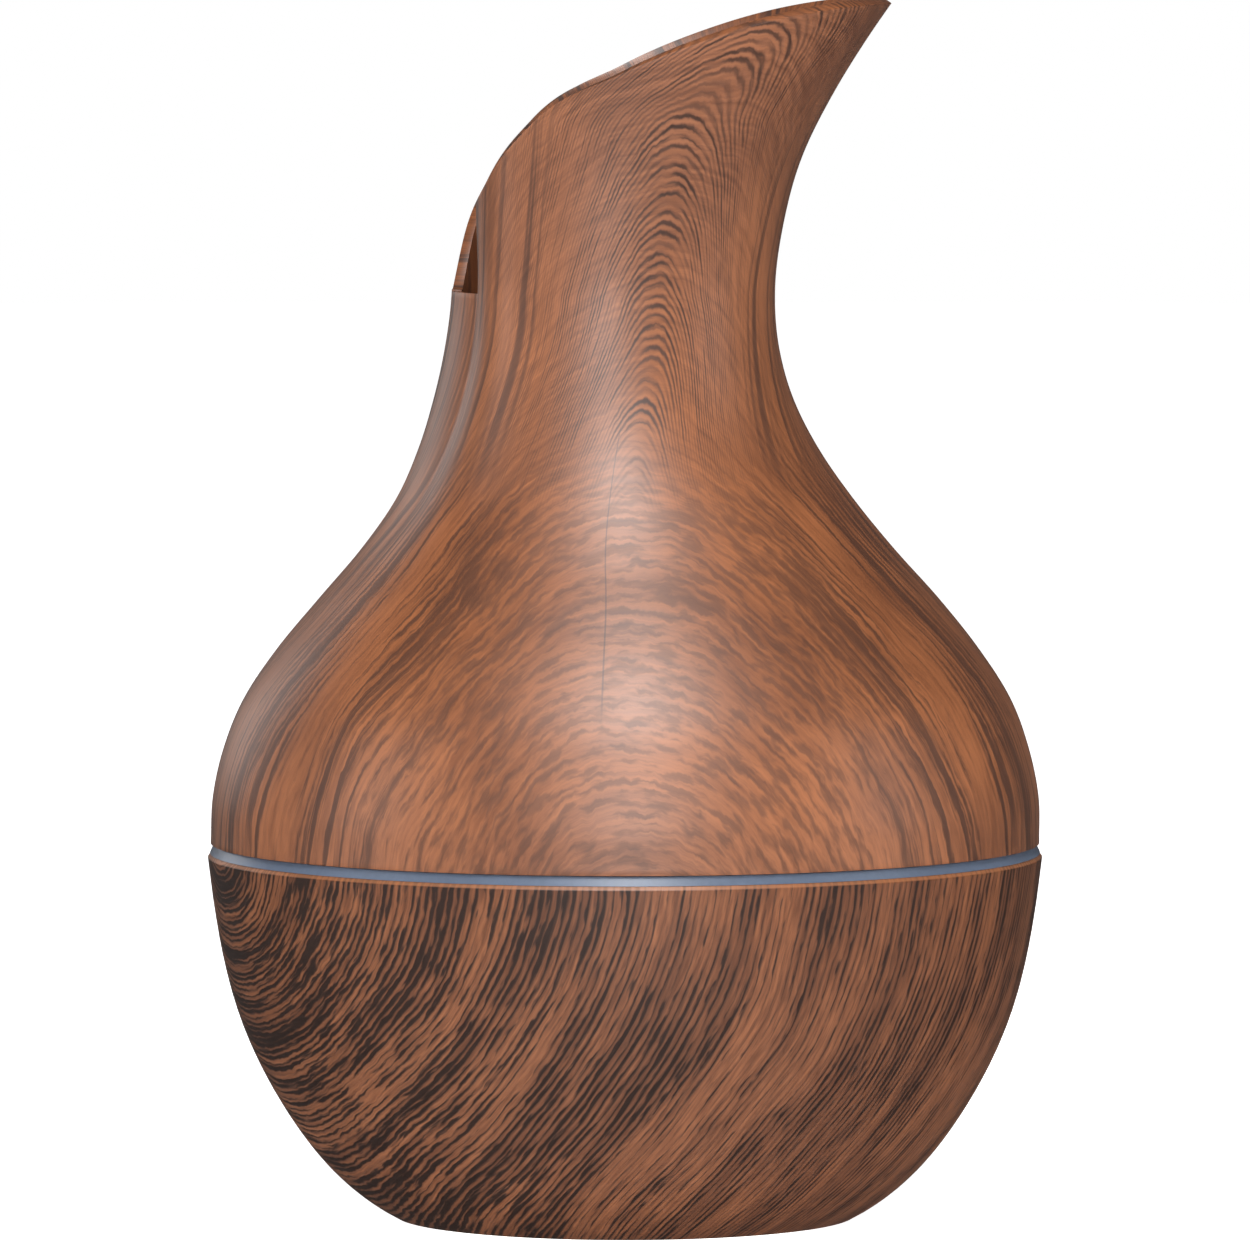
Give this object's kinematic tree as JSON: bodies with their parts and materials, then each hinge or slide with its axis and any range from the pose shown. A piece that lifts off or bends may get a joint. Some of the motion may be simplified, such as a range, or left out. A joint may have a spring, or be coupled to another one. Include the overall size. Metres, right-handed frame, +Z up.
{
  "type": "cool mist humidifier",
  "caption": "Vase-shaped desktop ultrasonic humidifier: a lift-off cover with a slanted mouth on a bowl-shaped base with water tank, fan and ultrasonic disc.",
  "frame": {"origin": "centre of the footprint on the surface that the feet stand on", "axes": "+Z up; +X towards the tip of the mouth; the power inlet faces +Y"},
  "size_m": [0.1004, 0.1004, 0.1465],
  "materials": {
    "wood_grain_shell": "satin wood-grain film over moulded plastic",
    "white_plastic": "smooth moulded",
    "frosted_plastic": "frosted translucent moulding",
    "ring_plastic": "translucent, cool grey-blue",
    "black_plastic": "moulded, fine texture",
    "silicone": "soft translucent silicone",
    "foot_rubber": "matt rubber",
    "screw_steel": "zinc-plated",
    "inlet_steel": "drawn sheet",
    "contact_metal": "gold-plated",
    "board": "green solder mask",
    "disc_metal": "silvered ceramic on a steel plate",
    "core_metal": "ferrite with enamelled winding",
    "can_metal": "drawn can",
    "lamp": "clear epoxy dome",
    "copper": "enamelled copper wire",
    "lead_insulation": "thin soft insulation"
  },
  "bodies": {
    "base": {"base_shell": "wood_grain_shell", "light_ring": "ring_plastic", "water_tank": "frosted_plastic", "air_tube": "frosted_plastic", "air_tube_cap": "white_plastic", "tank_gasket": "silicone", "disc_grommet": "silicone", "ultrasonic_disc": "disc_metal", "disc_retainer": "white_plastic", "retainer_screws": "screw_steel", "disc_leads": "lead_insulation", "fan_leads": "lead_insulation", "fan_duct": "white_plastic", "fan_housing": "black_plastic", "fan_shaft": "screw_steel", "fan_stator": "copper", "fan_screws": "screw_steel", "main_board": "board", "board_screws": "screw_steel", "inductor": "core_metal", "capacitors": "can_metal", "control_chips": "black_plastic", "night_light_leds": "lamp", "usb_shell": "inlet_steel", "usb_tongue": "black_plastic", "usb_contacts": "contact_metal", "inlet_bezel": "black_plastic", "switch_body": "black_plastic", "bottom_cover": "white_plastic", "case_screws": "screw_steel", "foot_front_right": "foot_rubber", "foot_front_left": "foot_rubber", "foot_back_left": "foot_rubber", "foot_back_right": "foot_rubber"},
    "cover": {"upper_cover": "wood_grain_shell", "mouth_lip": "wood_grain_shell", "mouth_floor": "wood_grain_shell", "cover_liner": "white_plastic", "cover_seal": "silicone", "mist_chimney": "white_plastic", "mist_outlet": "white_plastic"},
    "button": {"power_button": "white_plastic"},
    "plunger": {"switch_plunger": "white_plastic"},
    "rotor": {"fan_rotor": "black_plastic"}
  },
  "joints": [
    {"name": "cover_lift", "type": "slide", "parent": "base", "child": "cover", "axis": [0, 0, 1], "range_m": [0, 0.08]},
    {"name": "button_press", "type": "slide", "parent": "base", "child": "button", "axis": [0.866, -0.5, 0], "range_m": [0, 0.0005], "stiffness_N_per_m": 300},
    {"name": "plunger_press", "type": "slide", "parent": "base", "child": "plunger", "axis": [0.866, -0.5, 0], "range_m": [0, 0.0005]},
    {"name": "fan_spin", "type": "hinge", "parent": "base", "child": "rotor", "pos_m": [0, -0.017, 0.0098], "axis": [0, 0, 1], "continuous": true}
  ],
  "couplings": [
    {"joint": "plunger_press", "follows": "button_press", "ratio": 1}
  ]
}
